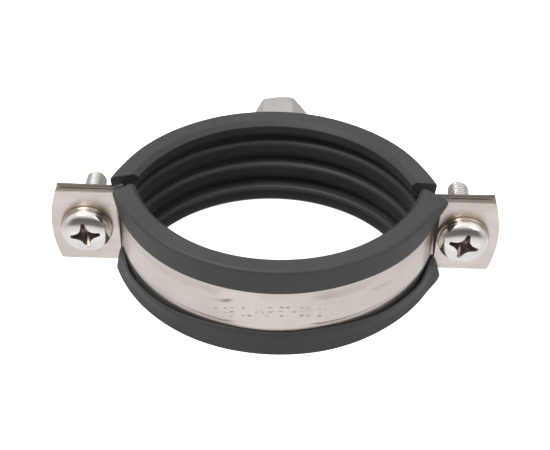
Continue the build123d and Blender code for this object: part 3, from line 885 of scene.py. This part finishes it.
screws = {}
for hand, side_name in ((LEFT, "left"), (RIGHT, "right")):
    head = lathe(side_name + "_screw_head", head_outline(), (hand * SCREW_X, 0), SCREW, 128, 40.0)
    boolean(head, recess_cutter(hand * SCREW_X, RECESS_TURN[hand]))
    finish_shading(head, SCREW, 32.0)
    thread = make_thread(hand * SCREW_X, side_name + "_screw_thread")
    screws[hand] = (head, thread)


# ---- washers
WASHER_HOLE_R = 2.76


def make_washer(hand, name):
    """Flat washer with broken edges, a little rounder at its outer rim."""
    y0, y1 = washer_low[1], washer_high[1]
    r, hole = WASHER_R, WASHER_HOLE_R
    profile = [(hole, y1 - 0.08), (hole + 0.08, y1), (r - 0.3, y1), (r - 0.1, y1 - 0.08), (r, y1 - 0.28),
               (r, y0 + 0.3), (r - 0.08, y0 + 0.1), (r - 0.28, y0), (hole + 0.08, y0), (hole, y0 + 0.08)]
    return lathe(name, profile, (hand * SCREW_X, 0), WASHER, 112, 50.0)


washers = [make_washer(LEFT, "left_washer_ring"), make_washer(RIGHT, "right_washer_ring")]


# ---- boss nut and its weld
HEX_FLATS = 13.0
HEX_TURN = -6.0
HEX_START_Y = 29.3
HEX_END_Y = boss_high[1]
CORNER_FLAT = 0.12  # how much the hexagon's corners are worn down
CHAMFER_R = 6.2
NECK_R = 4.8
NECK_SUNK = 0.6  # the neck starts this far below the strip's face
# Threads as (major radius, minor radius, pitch), and where each one starts and ends
M8, M10 = (4.0, 3.38, 1.25), (5.0, 4.25, 1.5)
M8_START_Y, M8_END_Y = 28.7, HEX_END_Y - 7.9
M10_START_Y = HEX_END_Y - 8.0
M10_MOUTH = 0.4


def hex_radius(angles):
    """Distance to the hexagon's side, with flats facing up and down before it is turned."""
    sector = (angles + math.pi / 6) % (math.pi / 3) - math.pi / 6
    sharp = HEX_FLATS / 2 / np.cos(sector)
    corner = HEX_FLATS / 2 / math.cos(math.pi / 6)
    return np.minimum(sharp, corner - CORNER_FLAT)


def make_boss():
    """Hexagon bar with a 30 degree chamfered crown and a round neck, still without its bores."""
    angles = circle(360)
    around = angles + math.radians(HEX_TURN)
    hexagon = hex_radius(angles)
    slope = math.tan(math.radians(30))
    crown = arc_centre(REAR)[1] + OUT_R - NECK_SUNK

    def ring(radius, y):
        return round_ring(radius, y, around)

    rings = [ring(NECK_R, crown), ring(NECK_R, HEX_START_Y - 0.25), ring(NECK_R + 0.3, HEX_START_Y - 0.05),
             ring(np.minimum(hexagon, NECK_R + 0.9), HEX_START_Y), ring(hexagon - 0.12, HEX_START_Y),
             ring(hexagon, HEX_START_Y + 0.12)]
    rings += [ring(hexagon, y) for y in np.linspace(HEX_START_Y + 1.0, HEX_END_Y - 2.0, 12)]
    start = HEX_END_Y - np.maximum(hexagon - CHAMFER_R, 0.02) * slope
    rings.append(ring(hexagon, start))
    for share in (0.25, 0.5, 0.75, 1.0):
        radius = hexagon + (CHAMFER_R - hexagon) * share
        rings.append(ring(radius, start + (HEX_END_Y - start) * share))
    rings.append(ring(CHAMFER_R - 0.5, HEX_END_Y))
    return swept("boss_hexagon", rings, BOSS, 22.0)


def bore_cutter(radius, root, pitch, low_y, high_y, mouth):
    """Cutter for a threaded bore along Y, wider at its mouth by a chamfer."""
    angles = circle(72)
    rings = []
    for y in np.arange(low_y, high_y, pitch / 10):
        phase = np.abs(((y / pitch - angles / (2 * math.pi) + 0.5) % 1.0) - 0.5) * 2
        r = radius - (radius - root) * smoothstep((phase - 0.1) / 0.75)
        rings.append(round_ring(np.maximum(r, radius + mouth - (high_y - y)), y, angles))
    rings += [round_ring(radius + mouth, y, angles) for y in (high_y, high_y + 1.0)]
    return swept("cutter", rings, BOSS, 50.0)


boss = make_boss()
boolean(boss, bore_cutter(*M8, M8_START_Y, M8_END_Y, 0.0))
boolean(boss, bore_cutter(*M10, M10_START_Y, HEX_END_Y, M10_MOUTH))
finish_shading(boss, BOSS, 24.0)


WELD_RIPPLES = ((0.05, 23, 0.0), (0.08, 5, 1.0), (0.05, 9, 2.0))  # (height, count around, phase)
WELD_OUT, WELD_LIFT = 0.22, 0.1  # middle of the bead, from the neck and from the strip
WELD_HALF_WIDTH, WELD_HALF_HEIGHT = 0.3, 0.28


def make_weld():
    """Rippled flash squeezed out around the neck, following the strip's curve."""
    steps, around = 180, 14
    angles = circle(steps)
    ripple = sum(height * np.sin(count * angles + phase) for height, count, phase in WELD_RIPPLES)
    cx, cy = arc_centre(REAR)
    rings = []
    for k, angle in enumerate(angles):
        ring = []
        for j in range(around):
            a = 2 * math.pi * j / around
            out = NECK_R + WELD_OUT + (WELD_HALF_WIDTH + ripple[k] * 0.5) * math.cos(a)
            x, z = out * math.sin(angle), out * math.cos(angle)
            surface = cy + math.sqrt(OUT_R ** 2 - (x - cx) ** 2)
            y = surface + WELD_LIFT + (WELD_HALF_HEIGHT + ripple[k]) * math.sin(a)
            ring.append((x, y, z))
        rings.append(ring)
    faces = ring_faces(steps, around, closed_rows=True)
    piece = make_object("boss_weld_flash", np.reshape(rings, (-1, 3)), faces, WELD, 60.0)
    outward(piece, WELD, 60.0)
    return piece


weld = make_weld()


# ---- which body each piece moves with
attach(front_band, "front_half")
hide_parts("front_band")
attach(rear_band, "rear_half")
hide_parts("rear_band")
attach(front_liner, "front_half")
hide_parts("front_liner")
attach(rear_liner, "rear_half")
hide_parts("rear_liner")
for hand, body in ((LEFT, "left_screw"), (RIGHT, "right_screw")):
    for piece in screws[hand]:
        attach(piece, body)
    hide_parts(body)
for washer, node in zip(washers, ("left_washer", "right_washer")):
    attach(washer, "front_half")
    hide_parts(node)
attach(boss, "rear_half")
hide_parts("boss_nut")
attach(weld, "rear_half")
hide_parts("boss_weld")


# ---- floor
FLOOR_HALF = 900.0
CARD_INSET = 1.0  # the dark card's edge lies this far inside the liners
CARD_GAP = 0.2  # and its two halves start this far from the meeting plane
CARD_LIFT = 0.3


def make_floor():
    """White floor under the clamp, slightly self-lit so that it stays white in the shade."""
    size, z = FLOOR_HALF, -RIM_HALF
    points = [(-size, -size, z), (size, -size, z), (size, size, z), (-size, size, z)]
    n = Nodes(bpy.data.materials.new("floor_white"))
    mottle = n.noise(n.coords(), 6.0, 2.0)
    n.set(Base_Color=n.mix(n.share(mottle, 0.3, 0.7), grey(0.93), grey(0.95)), Roughness=0.9)
    n.set(Emission_Color=grey(1.0), Emission_Strength=1.0, Specular_IOR_Level=0.0)
    return make_object("floor", points, [(0, 1, 2, 3)], n.owner)


def make_dark_card():
    """Dark card under the clamp's opening, unseen by the camera: it only darkens the inside walls."""
    radius, z = PAD_R - CARD_INSET, -RIM_HALF + CARD_LIFT
    limit = math.acos((ARC_OFFSET + CARD_GAP) / radius)
    rim = []
    for side in (FRONT, REAR):
        angles = np.linspace(-limit, limit, 40) * -side
        rim.append(arc_points(side, radius, angles, z))
    outline = np.concatenate(rim)
    n = Nodes(bpy.data.materials.new("card_black"))
    n.set(Base_Color=n.mix(n.noise(n.coords(), 20.0), grey(0.01), grey(0.02)), Roughness=1.0)
    card = make_object("dark_card", outline, [tuple(range(len(outline)))], n.owner)
    card.visible_camera = False
    card.visible_shadow = False
    return card


floor = make_floor()
floor.visible_diffuse = False
floor.visible_glossy = False
card = make_dark_card()


# ---- light
# Brightness by direction as (height, level, warmth). Metal reflects the first, on the camera's side, and
# the second, elsewhere. The third lights matt surfaces.
WORLD_FRONT = [(-1.0, 0.7, 0.0), (-0.64, 1.1, 0.0), (-0.42, 0.8, 0.02), (-0.2, 0.17, 0.08),
               (0.15, 0.13, 0.08), (0.4, 0.35, 0.04), (0.6, 0.85, 0.0), (1.0, 1.1, 0.0)]
WORLD_BACK = [(-1.0, 0.85, 0.0), (-0.64, 0.85, 0.0), (-0.2, 0.6, 0.0), (0.2, 0.7, 0.0), (0.64, 0.85, 0.0),
              (1.0, 1.1, 0.0)]
WORLD_SOFT = [(-1.0, 1.3, 0.0), (-0.2, 1.2, 0.0), (0.02, 0.4, 0.0), (0.45, 0.22, 0.0), (0.75, 0.5, 0.0),
              (1.0, 2.5, 0.0)]
WORLD_TURN = (-0.85, -0.45)  # the front gives way to the back between these values of a direction's Y
# Square lamps as (name, position, side, power), all aimed at the middle of the clamp
LAMPS = (("key", (-170, -120, 430), 260, 1.2), ("fill", (320, -260, 260), 260, 0.25))


def make_world():
    """Studio surroundings by direction: a darker room low on the camera's side, pale elsewhere."""
    world = bpy.data.worlds.new("studio")
    bpy.context.scene.world = world
    n = Nodes(world, "Background")
    way = n.axes("Generated")
    level = n.share(way["Z"], -1.0, 1.0)

    def ramp(stops):
        node = n.add("ShaderNodeValToRGB", {0: level})
        node.color_ramp.interpolation = "EASE"
        elements = node.color_ramp.elements
        while len(elements) < len(stops):
            elements.new(0.5)
        for element, (height, value, warm) in zip(elements, stops):
            element.position = (height + 1) / 2
            element.color = grey(value, warm)
        return node.outputs[0]

    span = {"Value": way["Y"], "From Min": WORLD_TURN[0], "From Max": WORLD_TURN[1]}
    toward = n.add("ShaderNodeMapRange", span, interpolation_type="SMOOTHSTEP").outputs["Result"]
    mirrored = n.mix(toward, ramp(WORLD_FRONT), ramp(WORLD_BACK))
    diffuse = n.add("ShaderNodeLightPath").outputs["Is Diffuse Ray"]
    n.set(Color=n.mix(diffuse, mirrored, ramp(WORLD_SOFT)))


def area_light(name, position_mm, side_mm, power):
    data = bpy.data.lights.new(name, "AREA")
    data.shape = "RECTANGLE"
    data.size = data.size_y = side_mm * MM
    data.energy = power
    lamp = bpy.data.objects.new(name, data)
    bpy.context.scene.collection.objects.link(lamp)
    lamp.location = Vector(position_mm) * MM
    lamp.rotation_euler = (-lamp.location).to_track_quat("-Z", "Y").to_euler()


make_world()
for lamp in LAMPS:
    area_light(*lamp)


# ---- camera
CAMERA_ELEVATION, CAMERA_YAW, CAMERA_ROLL = 40.09, 1.38, 0.75
CAMERA_DISTANCE = 327.98
CAMERA_SHIFT = (-0.056, -0.40)  # where the origin appears, right of and above the middle of the view
CAMERA_LENS, CAMERA_SENSOR = 92.54, 36.0


def make_camera():
    """Camera from the front and above, rolled slightly, at the distance the perspective shows."""
    elevation, yaw, roll = (math.radians(a) for a in (CAMERA_ELEVATION, CAMERA_YAW, CAMERA_ROLL))
    forward = Vector((0, math.cos(elevation), -math.sin(elevation)))
    up = Vector((0, math.sin(elevation), math.cos(elevation)))
    right = Vector((1, 0, 0))
    place = -CAMERA_DISTANCE * forward - CAMERA_SHIFT[0] * right - CAMERA_SHIFT[1] * up
    right_r = math.cos(roll) * right + math.sin(roll) * up
    up_r = -math.sin(roll) * right + math.cos(roll) * up
    matrix = Matrix((right_r, up_r, -forward)).transposed().to_4x4()
    matrix.translation = place * MM
    camera = bpy.data.objects.new("camera", bpy.data.cameras.new("camera"))
    camera.data.lens = CAMERA_LENS
    camera.data.sensor_width = CAMERA_SENSOR
    camera.data.clip_start = 0.01
    camera.data.clip_end = 50.0
    camera.matrix_world = Matrix.Rotation(yaw, 4, "Z") @ matrix
    bpy.context.scene.collection.objects.link(camera)
    bpy.context.scene.camera = camera


make_camera()
scene = bpy.context.scene
scene.view_settings.view_transform = "Standard"
scene.view_settings.look = "None"
scene.view_settings.exposure = 0.0
scene.view_settings.gamma = 1.0

bpy.context.view_layer.update()
